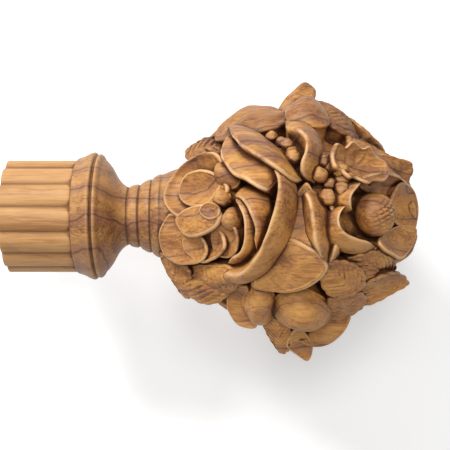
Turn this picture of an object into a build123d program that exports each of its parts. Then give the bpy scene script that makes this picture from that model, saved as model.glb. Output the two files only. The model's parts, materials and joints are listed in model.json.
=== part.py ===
from build123d import *
import os
from math import cos, radians, sin

# A reeded wooden curtain pole end with a carved flower finial that screws into it.
# Millimetres. +X runs along the pole to the finial's tip, +Z is up and -Y is the front.
# The origin is the centre of the pole's plain end face.

# Pole
POLE_RADIUS = 25.0
POLE_LENGTH = 30.0
REED_COUNT = 14
REED_RADIUS = 8.5
REED_PHASE = 3.9
JOINING_BORE_RADIUS = 4.0
JOINING_BORE_DEPTH = 12.0

# Screwed joint between the pole and the finial
THREAD_RADIUS = 4.0
THREAD_CLEARANCE = 0.05
INSERT_RADIUS = 5.5
INSERT_LENGTH = 14.0
BOLT_ENGAGEMENT = 12.0
BOLT_IN_NECK = 32.0
WASHER_RADIUS = 9.0
WASHER_BORE = 4.4
WASHER_THICKNESS = 1.2
WASHER_GAP = 0.15
COLLAR_GAP = 0.05

# Turned neck: collar rim, neck and flare
RIM_RADIUS = 25.6
COLLAR_RADIUS = 28.3
COLLAR_END = 38.0
NECK_RADIUS = 12.9
NECK_START = 52.0
FLARE_START = 67.0
FLARE_RADIUS = 18.6
NECK_END = 92.0
NECK_END_RADIUS = 25.0
TENON_RADIUS = 8.0
TENON_START = 78.0
TENON_END = 103.0

# Carved head
HEAD_X = 124.0
CORE_RADIUS = 41.0
ROOT_REACH = 37.0
BAND_FOOT_REACH = 40.0
BERRY_RADIUS = 2.7
BUD_FACETS = 8
MIRROR_GAP = 0.1


def rod(radius, start, end):
    """A round bar along the pole's axis from start to end."""
    return extrude(Plane.YZ.offset(start) * Circle(radius), end - start)


# ---------------------------------------------------------------- pole and hardware


def make_pole():
    """The reeded pole with a bore for the insert and one for a joining dowel."""
    section = Circle(POLE_RADIUS - REED_RADIUS)
    for place in PolarLocations(POLE_RADIUS - REED_RADIUS, REED_COUNT, 180 + REED_PHASE):
        section += place * Circle(REED_RADIUS)
    pole = extrude(Plane.YZ * section, POLE_LENGTH)
    pole -= rod(INSERT_RADIUS, POLE_LENGTH - INSERT_LENGTH, POLE_LENGTH)
    pole -= rod(JOINING_BORE_RADIUS, 0, JOINING_BORE_DEPTH)
    return pole


def make_insert():
    """The threaded metal insert, flush with the pole's end."""
    start = POLE_LENGTH - INSERT_LENGTH
    return rod(INSERT_RADIUS, start, POLE_LENGTH) - rod(THREAD_RADIUS, start, POLE_LENGTH)


def make_bolt():
    """The hanger bolt: machine thread in the insert, wood thread in the neck."""
    joint = POLE_LENGTH + COLLAR_GAP
    machine_end = rod(THREAD_RADIUS - THREAD_CLEARANCE, joint - BOLT_ENGAGEMENT, joint)
    wood_end = rod(THREAD_RADIUS, joint, joint + BOLT_IN_NECK)
    return machine_end + wood_end


def make_washer():
    """The fibre washer that sits in the collar's recess, around the bolt."""
    start = POLE_LENGTH + COLLAR_GAP + WASHER_GAP
    end = start + WASHER_THICKNESS
    return rod(WASHER_RADIUS, start, end) - rod(WASHER_BORE, start, end)


def make_neck(core):
    """The turned collar and neck with its tenon, scribed to the round core."""
    face = POLE_LENGTH + COLLAR_GAP
    band = Spline((face, RIM_RADIUS), (face + 3.5, 26.6), (face + 6, 28.0), (COLLAR_END, COLLAR_RADIUS))
    groove = Polyline((COLLAR_END, COLLAR_RADIUS), (COLLAR_END + 0.8, 26.9), (COLLAR_END + 1.2, 26.9))
    bead = ThreePointArc((COLLAR_END + 1.2, 26.9), (COLLAR_END + 2.8, 26.9), (COLLAR_END + 3.7, 25.3))
    cavetto = Spline(
        (COLLAR_END + 3.7, 25.3),
        (COLLAR_END + 7.6, 20.6),
        (COLLAR_END + 10.6, 15.2),
        (NECK_START, NECK_RADIUS),
    )
    ring_1 = ThreePointArc((NECK_START, NECK_RADIUS), (54.8, 13.9), (57.3, 13.9))
    ring_2 = ThreePointArc((57.3, 13.9), (60.2, 16.5), (62.7, 16.4))
    ring_3 = ThreePointArc((62.7, 16.4), (64.9, 18.4), (FLARE_START, FLARE_RADIUS))
    flare = Spline((FLARE_START, FLARE_RADIUS), (78.0, 22.4), (NECK_END, NECK_END_RADIUS))
    closing = Polyline((NECK_END, NECK_END_RADIUS), (NECK_END, 0), (face, 0), (face, RIM_RADIUS))
    outline = [band, groove, bead, cavetto, ring_1, ring_2, ring_3, flare, closing]
    neck = revolve(make_face(outline), Axis.X)
    neck -= core
    neck += rod(TENON_RADIUS, TENON_START, TENON_END)
    neck -= rod(THREAD_RADIUS, face, face + BOLT_IN_NECK)
    neck -= rod(WASHER_RADIUS + 2 * WASHER_GAP, face, face + WASHER_THICKNESS + 2 * WASHER_GAP)
    return neck


# ---------------------------------------------------------------- carving helpers
# A place on the head is a bearing (0 faces the front, 90 the tip), a rise above the
# horizon and a reach from the head's centre.


def on_head(bearing, rise, reach):
    """The point at a bearing, a rise and a reach from the head's centre."""
    level = reach * cos(radians(rise))
    x = HEAD_X + level * sin(radians(bearing))
    y = -level * cos(radians(bearing))
    return Vector(x, y, reach * sin(radians(rise)))


def seat(bearing, rise, reach, turn=0, lean=0):
    """A frame on the head: z points out, and y points to the lip. turn 0 puts the lip
    at the top and turn 90 to the right; lean lifts the lip off the head."""
    out = (on_head(bearing, rise, 1) - Vector(HEAD_X, 0, 0)).normalized()
    east = Vector(cos(radians(bearing)), sin(radians(bearing)), 0)
    frame = Plane(on_head(bearing, rise, reach), x_dir=east, z_dir=out)
    return frame * Rot(0, 0, -turn) * Rot(lean, 0, 0)


def leaf_outline(length, width):
    """A pointed leaf: two arcs that meet at the tip and the stem."""
    tip, stem = (0, length / 2), (0, -length / 2)
    return make_face([ThreePointArc(stem, (width / 2, 0), tip), ThreePointArc(tip, (-width / 2, 0), stem)])


def cupped(place, length, width, cup, reach):
    """A round petal with a hollow face of radius cup, on a root that runs into the core."""
    outline = Rot(0, 0, 90) * SlotOverall(length, width) if length > width else Circle(width / 2)
    rim = cup - (cup**2 - (width / 2) ** 2) ** 0.5 if cup > width / 2 else cup
    block = extrude(outline, rim) + extrude(outline, ROOT_REACH - reach)
    hollow = Pos(0, 0, cup) * Sphere(cup)
    return place * (block - hollow)


def arched(place, length, width, arch, reach, sketch=leaf_outline):
    """A leaf with a rounded back of radius arch, on a root that runs into the core."""
    block = extrude(sketch(length, width), ROOT_REACH - reach)
    return place * (block & Pos(0, 0, -arch) * Sphere(arch))


def petal(bearing, rise, reach, length, width, turn=0, lean=0, cup=14.0):
    """A cupped petal on the head."""
    return cupped(seat(bearing, rise, reach, turn, lean), length, width, cup, reach)


def leaf(bearing, rise, reach, length, width, turn=0, lean=0, arch=26.0):
    """A pointed leaf on the head."""
    return arched(seat(bearing, rise, reach, turn, lean), length, width, arch, reach)


def bud(bearing, rise, reach, length, width, turn=0, lean=0):
    """An egg-shaped bud whose middle is at the reach."""
    steps = range(BUD_FACETS + 1)
    angles = [radians(180 * i / BUD_FACETS) for i in steps]
    profile = [(width / 2 * sin(angle), -length / 2 * cos(angle)) for angle in angles]
    return seat(bearing, rise, reach, turn, lean) * revolve(make_face(Polyline(*profile, close=True)), Axis.Y)


def band(lip, foot, thickness=4.0, lip_thickness=2.4):
    """A petal that wraps round a flower, from a foot line on the core to a lip line.

    lip lists (bearing, rise, reach) and foot lists (bearing, rise) at the same stations.
    """
    tops = [on_head(*place) for place in lip]
    feet = [on_head(*place, BAND_FOOT_REACH) for place in foot]
    sections = []
    for i, (top, root) in enumerate(zip(tops, feet)):
        ahead = min(i + 1, len(tops) - 1)
        behind = max(i - 1, 0)
        along = (tops[ahead] + feet[ahead]) - (tops[behind] + feet[behind])
        across = (top - root).cross(along).normalized()
        thin, thick = across * lip_thickness / 2, across * thickness / 2
        sections.append([top + thin, top - thin, root - thick, root + thick])
    return faceted(sections)


def faceted(sections):
    """A closed solid of flat facets through a row of four-cornered sections."""
    triangles = []
    for near, far in zip(sections, sections[1:]):
        for i in range(4):
            j = (i + 1) % 4
            triangles.append((near[i], near[j], far[j]))
            triangles.append((near[i], far[j], far[i]))
    for end in (sections[0], sections[-1]):
        triangles.append((end[0], end[1], end[2]))
        triangles.append((end[0], end[2], end[3]))
    return Solid(Shell([Face(Polyline(*corners, close=True).wire()) for corners in triangles]))


def berries(places):
    """A cluster of round berries, each a solid of its own."""
    return [Pos(on_head(*place)) * Sphere(BERRY_RADIUS) for place in places]


# ---------------------------------------------------------------- the carved pieces
# Each function lists its pieces from the front-most to the deepest: a later piece is
# scribed to the earlier ones.


def rose_wraps():
    """The rose's large curled petals, on the side towards the tip."""
    return {
        "rose_outer_wrap": band(
            lip=[(-12, 22, 53), (-10, 10, 56), (-12, -3, 57), (-19, -17, 55), (-39, -31, 50)],
            foot=[(-9, 24), (-2, 11), (-2, -3), (-13, -22), (-39, -35)],
        ),
        "rose_top_wrap": band(
            lip=[(-50, 45, 52), (-30, 32, 55), (-17, 26, 57), (-8, 21, 56), (-1, 15, 50)],
            foot=[(-55, 49), (-35, 49), (-18, 39), (-5, 30), (0, 17)],
        ),
        "rose_upper_wrap": band(
            lip=[(-50, 35, 50), (-34, 22, 53), (-24, 15, 54), (-17, 11, 54), (-13, 10, 51)],
            foot=[(-57, 45), (-33, 37), (-18, 28), (-12, 23), (-12, 14)],
        ),
        "rose_middle_wrap": band(
            lip=[(-34, 11, 48), (-25, 7, 51), (-21, 0, 53), (-21, -7, 52), (-26, -17, 48)],
            foot=[(-32, 13), (-19, 11), (-15, 1), (-17, -10), (-27, -20)],
        ),
        "rose_inner_wrap": band(
            lip=[(-34, 9, 47), (-30, 3, 49), (-28, -4, 51), (-29, -14, 50), (-41, -24, 46)],
            foot=[(-32, 10), (-25, 4), (-23, -5), (-25, -15), (-40, -26)],
        ),
    }


def rose_bowl():
    """The rose's heart and the round petals on the side towards the pole."""
    return {
        "rose_heart_bud": bud(-35, -2, 47, 10, 7, turn=10),
        "rose_heart_boss": bud(-41, 7, 46, 8, 8),
        "rose_heart_petal": petal(-45, 1, 47, 9, 8, turn=-60, cup=7),
        "rose_petal_top": petal(-40, 19, 46, 14, 11, turn=-20, cup=12),
        "rose_petal_upper": petal(-56, 12, 45, 19, 15, turn=-80, lean=25, cup=14),
        "rose_petal_lower": petal(-56, -4, 46, 18, 13, turn=-110, lean=20, cup=14),
        "rose_petal_low": petal(-60, -16, 45, 17, 12, turn=-130, lean=15, cup=14),
        "rose_petal_bottom": petal(-41, -15, 44, 14, 11, turn=170, cup=12),
        "rose_outer_petal_upper": petal(-71, 20, 51, 29, 20, turn=-40, lean=20, cup=22),
        "rose_outer_petal_lower": petal(-72, -14, 53, 27, 20, turn=-120, lean=20, cup=22),
    }


def rose_skirt():
    """The open petals behind the rose, in the middle of the head."""
    return {
        "skirt_ridge": band(
            lip=[(2, 10, 48), (5, 3, 52), (6, -8, 54), (8, -15, 54), (10, -21, 53)],
            foot=[(6, 12), (11, 5), (14, -8), (15, -18), (14, -24)],
        ),
        "skirt_back_ridge": band(
            lip=[(10, 5, 47), (11, -2, 50), (12, -10, 52), (12, -16, 52), (13, -22, 50)],
            foot=[(14, 6), (18, -2), (21, -12), (20, -20), (16, -25)],
        ),
        "skirt_shell": petal(-5, -24, 46, 24, 34, turn=150, lean=12, cup=26),
        "skirt_hollow_petal": petal(1, -4, 44, 34, 16, turn=20, cup=20),
    }


def berry_bunches():
    """Two bunches of berries that show between the petals."""
    return {
        "upper_berries": berries([(-16, 41, 47), (-5, 35, 47), (-3, 30, 45)]),
        "side_berries": berries([(16, 18, 49), (10, 19, 47), (16, 9, 49), (10, 5, 47), (11, 13, 47), (17, 3, 46)]),
    }


def seed_flower():
    """The open flower towards the tip, with a domed seed head."""
    return {
        "seed_head": bud(43, 0, 45, 18, 18),
        "seed_flower_left_petal": petal(28, 3, 47, 17, 7, turn=-10, cup=9),
        "seed_flower_top_petal": petal(46, 17, 47, 18, 9, turn=90, cup=12),
        "seed_flower_low_petal": petal(31, -10, 48, 22, 11, turn=110, cup=13),
        "seed_flower_right_petal": petal(74, 2, 55, 20, 11, turn=5, cup=13),
        "seed_flower_under_petal": petal(56, -16, 50, 20, 12, turn=75, cup=13),
        "seed_flower_base_petal": petal(50, -24, 48, 18, 11, turn=80, cup=13),
    }


def top_growth():
    """The buds and leaves along the top."""
    return {
        "top_bud": bud(12, 60, 46, 21, 17, turn=60),
        "bud_sheath": band(
            lip=[(-6, 46, 50), (4, 37, 54), (2, 29, 56), (1, 22, 54), (2, 18, 49)],
            foot=[(4, 53), (15, 45), (14, 34), (11, 26), (5, 18)],
        ),
        "top_leaf": leaf(0, 80, 57, 20, 11, turn=90, lean=10),
        "top_left_leaf": leaf(-74, 35, 49, 20, 16, turn=20, lean=10),
        "top_rear_petal": leaf(-48, 66, 52, 32, 20, turn=70, lean=8),
        "top_right_leaf": leaf(56, 60, 53, 30, 16, turn=120, lean=6),
    }


def tip_leaves():
    """The leaves towards the tip."""
    return {
        "scalloped_leaf": leaf(32, 23, 50, 24, 13, turn=80, lean=8),
        "long_leaf": leaf(64, 25, 55, 30, 15, turn=100, lean=12),
        "veined_leaf_upper": leaf(41, -24, 51, 20, 12, turn=80, lean=6),
        "veined_leaf_lower": leaf(24, -31, 51, 20, 14, turn=80, lean=4),
        "curled_tip_leaf": leaf(62, -33, 55, 26, 12, turn=80, lean=10),
        "under_tip_leaf": leaf(46, -50, 50, 24, 16, turn=150, lean=4),
    }


def bottom_growth():
    """The buds and leaves underneath."""
    return {
        "bottom_bud": bud(-30, -50, 45, 17, 13, turn=10),
        "bottom_bloom": bud(5, -57, 43, 24, 17, turn=90),
        "bottom_right_leaf": leaf(35, -69, 57, 24, 12, turn=110, lean=8),
        "bottom_left_leaf": leaf(-20, -68, 60, 18, 9, turn=150, lean=8),
        "bottom_tip_leaf": leaf(15, -80, 63, 14, 9, turn=150, lean=10),
        "curled_left_leaf": leaf(-40, -47, 51, 20, 12, turn=170, lean=6),
        "left_leaf": leaf(-64, -32, 54, 32, 16, turn=-80, lean=6),
        "left_side_leaf": leaf(-80, -36, 54, 16, 9, turn=-150, lean=6),
    }


def middle_leaves():
    """The leaves along the middle, which fill the gaps between the front and the back."""
    rosette = [seat(90, 0, 53, turn=72 * i) * Pos(0, 8, 0) for i in range(5)]
    return {
        "tip_rosette": [arched(place, 15, 10, 20.0, 53) for place in rosette],
        "crown_leaves": [leaf(side, 50, 50, 24, 16, turn=90 + side) for side in (-90, 90)] + [leaf(180, 70, 50, 24, 16, turn=90)],
        "keel_leaves": [leaf(side, -51, 50, 24, 16, turn=90 - side) for side in (-90, 90)] + [leaf(180, -70, 50, 24, 16, turn=90)],
    }


# Pieces on the head's outline stay in one place; every other piece is repeated behind.
REPEATED_BEHIND = {
    "back_rose": (
        "rose_outer_wrap rose_top_wrap rose_upper_wrap rose_middle_wrap rose_inner_wrap rose_heart_bud "
        "rose_heart_boss rose_heart_petal rose_petal_top rose_petal_upper rose_petal_lower rose_petal_low "
        "rose_petal_bottom rose_outer_petal_upper rose_outer_petal_lower skirt_ridge skirt_back_ridge "
        "skirt_shell skirt_hollow_petal"
    ).split(),
    "back_blooms": (
        "seed_head seed_flower_left_petal seed_flower_top_petal seed_flower_low_petal seed_flower_under_petal "
        "seed_flower_base_petal bud_sheath top_bud bottom_bud bottom_bloom upper_berries side_berries"
    ).split(),
    "back_leaves": (
        "scalloped_leaf veined_leaf_upper veined_leaf_lower left_leaf curled_left_leaf curled_tip_leaf under_tip_leaf"
    ).split(),
}


def touching(shape, others):
    """The solids in others whose boxes meet the shape's box."""
    box = shape.bounding_box()
    found = []
    for other in others:
        rival = other.bounding_box()
        apart = (
            rival.min.X > box.max.X or rival.max.X < box.min.X
            or rival.min.Y > box.max.Y or rival.max.Y < box.min.Y
            or rival.min.Z > box.max.Z or rival.max.Z < box.min.Z
        )
        if not apart:
            found.append(other)
    return found


def scribe(shape, placed):
    """The largest piece of a shape that is left outside the solids already placed."""
    left = shape
    for rival in touching(shape, placed):
        rest = left.cut(rival).solids()
        left = max(rest, key=lambda solid: solid.volume)
    return left


def make_head(core, neck):
    """Every carved piece, scribed to the core, the neck and the pieces in front of it."""
    raw = {}
    front = (rose_wraps, rose_bowl, rose_skirt, berry_bunches, seed_flower)
    outline = (top_growth, tip_leaves, bottom_growth, middle_leaves)
    for group in front + outline:
        raw.update(group())
    placed = [core, neck]
    pieces = {}
    for name, shape in raw.items():
        solids = shape if isinstance(shape, list) else shape.solids()
        done = [scribe(solid, placed) for solid in solids]
        placed += done
        pieces[name] = done
    behind = Pos(HEAD_X, 100 + MIRROR_GAP, 0) * Box(200, 200, 200)
    rivals = [solid for solid in placed[2:] if solid.bounding_box().max.Y > 0]
    for name, sources in REPEATED_BEHIND.items():
        copies = [mirror(solid, Plane.XZ) for source in sources for solid in pieces[source]]
        pieces[name] = [scribe(clear_of_front(copy, behind), rivals) for copy in copies]
    return pieces


def clear_of_front(shape, behind):
    """A shape, cut back to the space behind the middle where it crosses it."""
    if shape.bounding_box().min.Y > MIRROR_GAP:
        return shape
    return max((shape & behind).solids(), key=lambda solid: solid.volume)


def write(name, solids):
    """One STEP file for a node, from one solid or a group of separate ones."""
    shape = solids[0] if len(solids) == 1 else Compound(solids)
    export_step(shape, f"parts/{name}.step")


def main():
    """Build every piece and write its file."""
    os.makedirs("parts", exist_ok=True)
    ball = Pos(HEAD_X, 0, 0) * Sphere(CORE_RADIUS)
    neck = make_neck(ball)
    core = ball - rod(TENON_RADIUS, HEAD_X - CORE_RADIUS - 1, TENON_END)
    structure = {
        "pole": make_pole(),
        "threaded_insert": make_insert(),
        "hanger_bolt": make_bolt(),
        "collar_washer": make_washer(),
        "turned_neck": neck,
        "head_core": core,
    }
    for name, shape in structure.items():
        write(name, shape.solids())
    for name, solids in make_head(core.solid(), neck.solid()).items():
        write(name, solids)


main()
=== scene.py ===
import json
import logging
from dataclasses import dataclass, field
from enum import Enum
from math import atan2, cos, exp, pi, radians, sin, sqrt
from typing import Callable, ClassVar, Iterable, Sequence

import bpy
from mathutils import Matrix, Vector, noise
from mathutils.bvhtree import BVHTree


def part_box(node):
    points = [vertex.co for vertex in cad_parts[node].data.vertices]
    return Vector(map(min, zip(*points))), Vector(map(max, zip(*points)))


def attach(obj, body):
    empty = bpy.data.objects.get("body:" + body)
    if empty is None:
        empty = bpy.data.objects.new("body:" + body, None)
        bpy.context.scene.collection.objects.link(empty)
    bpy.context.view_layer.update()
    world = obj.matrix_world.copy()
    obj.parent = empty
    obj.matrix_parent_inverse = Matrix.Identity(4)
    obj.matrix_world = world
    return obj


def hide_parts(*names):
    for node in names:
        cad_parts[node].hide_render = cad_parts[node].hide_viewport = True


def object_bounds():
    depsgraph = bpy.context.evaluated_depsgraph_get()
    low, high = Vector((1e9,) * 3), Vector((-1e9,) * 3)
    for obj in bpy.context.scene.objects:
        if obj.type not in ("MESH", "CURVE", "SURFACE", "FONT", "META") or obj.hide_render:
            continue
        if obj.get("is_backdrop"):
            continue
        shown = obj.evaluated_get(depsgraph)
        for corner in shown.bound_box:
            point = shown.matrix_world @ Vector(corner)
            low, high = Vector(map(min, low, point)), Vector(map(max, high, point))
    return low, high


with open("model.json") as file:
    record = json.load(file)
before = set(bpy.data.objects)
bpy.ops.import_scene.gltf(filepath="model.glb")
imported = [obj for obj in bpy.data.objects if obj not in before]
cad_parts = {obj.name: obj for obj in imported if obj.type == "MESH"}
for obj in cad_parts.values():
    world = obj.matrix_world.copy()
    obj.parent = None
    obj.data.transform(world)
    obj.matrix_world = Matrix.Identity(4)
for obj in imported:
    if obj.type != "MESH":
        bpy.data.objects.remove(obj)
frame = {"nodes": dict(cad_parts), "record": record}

LOG = logging.getLogger("finial")
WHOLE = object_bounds()
MM = 0.001
FINIAL = "finial_body"
POLE_BODY = "pole_body"

Colour = tuple[float, float, float]
Place = tuple[float, float, float]


# ------------------------------------------------------------------ shader maths


class Val:
    """A shader socket that can be used in Python expressions."""

    def __init__(self, graph: "Graph", socket: bpy.types.NodeSocket) -> None:
        """Keep the graph and the socket."""
        self.graph = graph
        self.socket = socket

    def _math(self, operation: str, *values: "Val | float") -> "Val":
        """Add one Math node on these values."""
        return self.graph.node("ShaderNodeMath", {"operation": operation}, dict(enumerate(values)))

    def __add__(self, other: "Val | float") -> "Val":
        """Sum."""
        return self._math("ADD", self, other)

    def __radd__(self, other: float) -> "Val":
        """Sum with a number on the left."""
        return self._math("ADD", other, self)

    def __sub__(self, other: "Val | float") -> "Val":
        """Difference."""
        return self._math("SUBTRACT", self, other)

    def __rsub__(self, other: float) -> "Val":
        """Difference from a number."""
        return self._math("SUBTRACT", other, self)

    def __mul__(self, other: "Val | float") -> "Val":
        """Product."""
        return self._math("MULTIPLY", self, other)

    def __rmul__(self, other: float) -> "Val":
        """Product with a number on the left."""
        return self._math("MULTIPLY", other, self)

    def sine(self) -> "Val":
        """The sine."""
        return self._math("SINE", self)

    def ramp(self, low: float, high: float) -> "Val":
        """A smooth step from 0 at low to 1 at high.

        Args:
            low: the value that gives 0.
            high: the value that gives 1.

        Returns:
            The eased value between 0 and 1.
        """
        inputs = {"Value": self, "From Min": low, "From Max": high}
        return self.graph.node("ShaderNodeMapRange", {"interpolation_type": "SMOOTHSTEP"}, inputs)


SPECULAR = 0.35
Number = Val | float
Tint = Val | Colour


@dataclass
class Graph:
    """The node tree of one material, with one method for every node."""

    name: str
    material: bpy.types.Material = field(init=False)
    shader: bpy.types.Node = field(init=False)

    def __post_init__(self) -> None:
        """Make the material with a bare Principled shader."""
        self.material = bpy.data.materials.new(self.name)
        self.material.use_nodes = True
        self.shader = self.material.node_tree.nodes["Principled BSDF"]

    def raw(self, kind: str, settings: dict, inputs: dict) -> bpy.types.Node:
        """Add a node.

        Args:
            kind: the node's type.
            settings: its properties, or the stops of a colour ramp under "stops".
            inputs: values or links of its sockets, by name or number.

        Returns:
            The node.
        """
        made = self.material.node_tree.nodes.new(kind)
        for key, value in settings.items():
            if key == "stops":
                self._stops(made.color_ramp, value)
            else:
                setattr(made, key, value)
        for key, value in inputs.items():
            self.set(made.inputs[key], value)
        return made

    def node(self, kind: str, settings: dict, inputs: dict, output: int | str = 0) -> Val:
        """Add a node and return one of its outputs.

        Args:
            kind: the node's type.
            settings: its properties, or the stops of a colour ramp.
            inputs: values or links of its sockets.
            output: the output that is wanted.

        Returns:
            The output as a value for expressions.
        """
        return Val(self, self.raw(kind, settings, inputs).outputs[output])

    def set(self, socket: bpy.types.NodeSocket, value: Number | Sequence[float]) -> None:
        """Link a value to a socket, or set the socket's own number or colour.

        Args:
            socket: the socket to feed.
            value: a value of the graph, or a plain number or colour.
        """
        if isinstance(value, Val):
            self.material.node_tree.links.new(value.socket, socket)
        else:
            socket.default_value = value

    @staticmethod
    def _stops(ramp: bpy.types.ColorRamp, stops: Sequence[tuple[float, Colour]]) -> None:
        """Give a colour ramp its stops.

        Args:
            ramp: the ramp.
            stops: the place and colour of each stop.
        """
        while len(ramp.elements) < len(stops):
            ramp.elements.new(1.0)
        for element, (position, colour) in zip(ramp.elements, stops):
            element.position = position
            element.color = (*colour, 1.0)

    def place(self, scale: Sequence[float], offset: Sequence[float] = (0, 0, 0)) -> Val:
        """Object coordinates, scaled along each axis."""
        coordinates = self.node("ShaderNodeTexCoord", {}, {}, "Object")
        return self.node("ShaderNodeMapping", {}, {"Vector": coordinates, "Scale": scale, "Location": offset})

    def cloud(self, vector: Val, detail: float = 3.0, rough: float = 0.55, warp: float = 0.0) -> Val:
        """Noise between 0 and 1, one wave to each unit of the given vector."""
        inputs = {"Vector": vector, "Scale": 1.0, "Detail": detail, "Roughness": rough, "Distortion": warp}
        return self.node("ShaderNodeTexNoise", {}, inputs)

    def mark(self, name: str) -> Val:
        """A number stored on the mesh, between 0 and 1."""
        return self.node("ShaderNodeAttribute", {"attribute_name": name}, {}, "Fac")

    def mix(self, amount: Number, first: Tint, second: Tint) -> Val:
        """Blend two colours."""
        return self._blend("MIX", amount, first, second)

    def times(self, amount: Number, first: Tint, second: Tint) -> Val:
        """Multiply a colour by another, by an amount."""
        return self._blend("MULTIPLY", amount, first, second)

    def _blend(self, mode: str, amount: Number, first: Tint, second: Tint) -> Val:
        """Add a colour Mix node.

        Args:
            mode: the kind of blend.
            amount: how much of the second colour counts.
            first: the first colour.
            second: the second colour.

        Returns:
            The blended colour.
        """
        made = self.raw("ShaderNodeMix", {"data_type": "RGBA", "blend_type": mode}, {0: amount})
        for number, colour in ((6, first), (7, second)):
            self.set(made.inputs[number], colour if isinstance(colour, Val) else (*colour, 1.0))
        return Val(self, made.outputs[2])

    def finish(self, colour: Val, roughness: Number, height: Val, depth: float) -> bpy.types.Material:
        """Feed the shader.

        Args:
            colour: the base colour.
            roughness: the roughness.
            height: the relief, about 0 to 1.
            depth: how deep the relief is, in metres.

        Returns:
            The finished material.
        """
        self.set(self.shader.inputs["Base Color"], colour)
        self.set(self.shader.inputs["Roughness"], roughness)
        self.set(self.shader.inputs["Specular IOR Level"], SPECULAR)
        bump = self.node("ShaderNodeBump", {}, {"Height": height, "Distance": depth, "Strength": 1.0})
        self.set(self.shader.inputs["Normal"], bump)
        return self.material


# ------------------------------------------------------------------ finishes


class Rate:
    """How often each figure of the wood repeats in a metre, along its grain and across it."""

    BEND = (6, 14, 14)
    FIGURE = (9, 75, 75)
    FIBRE = (60, 1100, 1100)
    PORES = (170, 2600, 2600)
    WANDER = (17, 24, 24)
    PATCHES = (110, 190, 190)
    RUBBED = (130, 130, 130)
    FACETS = (230, 380, 380)


@dataclass(frozen=True)
class Wood:
    """Oiled wood with its grain along the pole, dark veins, worn edges and painted shade in its hollows."""

    name: str
    light: Colour
    mid: Colour
    dark: Colour
    vein: Colour
    worn: Colour
    vein_amount: float = 0.6
    band_rate: float = 480.0
    band_drift: float = 12.0
    slope: float = 0.35
    tint: float = 0.4
    mottle: float = 0.0
    golden: Colour = (0.62, 0.36, 0.085)
    chisel: float = 0.0
    smoke: Colour = (0.21, 0.09, 0.068)
    # Tint and amount of the painted shade in the hollows
    shaded: Colour = (0.20, 0.13, 0.11)
    hollow: float = 0.75
    wear: float = 0.8
    gloss: float = 0.42
    bump: float = 0.0002

    def build(self) -> bpy.types.Material:
        """Make the material.

        Returns:
            The material.
        """
        graph = Graph(self.name)
        bend = graph.cloud(graph.place(Rate.BEND), 2.0)
        figure = graph.cloud(graph.place(Rate.FIGURE), 4.0, 0.6, 0.8)
        fibre = graph.cloud(graph.place(Rate.FIBRE), 3.0, 0.6)
        pores = graph.cloud(graph.place(Rate.PORES), 2.0, 0.6)
        tone = (figure * 0.55 + fibre * 0.45).ramp(0.36, 0.64)
        stops = ((0.0, self.dark), (0.45, self.mid), (1.0, self.light))
        colour = graph.node("ShaderNodeValToRGB", {"stops": stops}, {"Fac": tone})
        parts = graph.raw("ShaderNodeSeparateXYZ", {}, {"Vector": graph.place((1, 1, 1))})
        level = Val(graph, parts.outputs[2]) + Val(graph, parts.outputs[1]) * self.slope
        wander = graph.cloud(graph.place(Rate.WANDER, (3, 1, 2)), 4.0, 0.5)
        band = (level * self.band_rate + wander * self.band_drift).sine()
        line = band.ramp(0.965, 0.999) * bend.ramp(0.38, 0.58)
        haze = band.ramp(-0.6, 1.0) * bend.ramp(0.36, 0.66)
        patches = graph.cloud(graph.place(Rate.PATCHES, (7, 4, 5)), 4.0, 0.6, 0.6)
        colour = graph.mix(patches.ramp(0.52, 0.70) * self.mottle, colour, self.golden)
        colour = graph.mix((1.0 - patches).ramp(0.54, 0.70) * self.mottle, colour, self.smoke)
        colour = graph.mix(haze * self.tint, colour, self.smoke)
        colour = graph.mix(line * self.vein_amount, colour, self.vein)
        colour = graph.times(pores.ramp(0.60, 0.78) * 0.35, colour, self.dark)
        # Painted shade: the hollows are darkened by how hidden each corner is
        depth = graph.mark("hollow").ramp(0.13, 0.70)
        colour = graph.mix(depth * self.hollow, colour, graph.times(1.0, colour, self.shaded))
        rubbed = graph.cloud(graph.place(Rate.RUBBED), 2.0).ramp(0.26, 0.54)
        worn = graph.mark("worn").ramp(0.05, 1.0) * rubbed
        colour = graph.mix(worn * self.wear, colour, self.worn)
        rough = self.gloss + 0.18 * fibre + 0.12 * depth
        facets = graph.cloud(graph.place(Rate.FACETS, (2, 6, 1)), 1.0)
        relief = fibre * 0.6 + pores * 0.4 + facets * self.chisel
        return graph.finish(colour, rough, relief, self.bump)


@dataclass(frozen=True)
class Metal:
    """Turned metal with fine rings round its axis."""

    name: str
    colour: Colour
    roughness: float = 0.3
    bump: float = 0.00003

    def build(self) -> bpy.types.Material:
        """Make the material.

        Returns:
            The material.
        """
        graph = Graph(self.name)
        graph.set(graph.shader.inputs["Metallic"], 1.0)
        rings = graph.cloud(graph.place((2500, 60, 60)), 2.0)
        blotch = graph.cloud(graph.place((200, 200, 200)))
        colour = graph.mix(blotch.ramp(0.45, 0.75) * 0.4, self.colour, tuple(c * 0.6 for c in self.colour))
        return graph.finish(colour, self.roughness + 0.2 * rings, rings, self.bump)


@dataclass(frozen=True)
class Fibre:
    """Pressed fibre board."""

    name: str
    colour: Colour
    roughness: float = 0.85
    bump: float = 0.00008

    def build(self) -> bpy.types.Material:
        """Make the material.

        Returns:
            The material.
        """
        graph = Graph(self.name)
        flock = graph.cloud(graph.place((1500, 1500, 1500)))
        colour = graph.mix(flock.ramp(0.35, 0.7) * 0.5, self.colour, tuple(c * 0.45 for c in self.colour))
        return graph.finish(colour, self.roughness, flock, self.bump)


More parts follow.
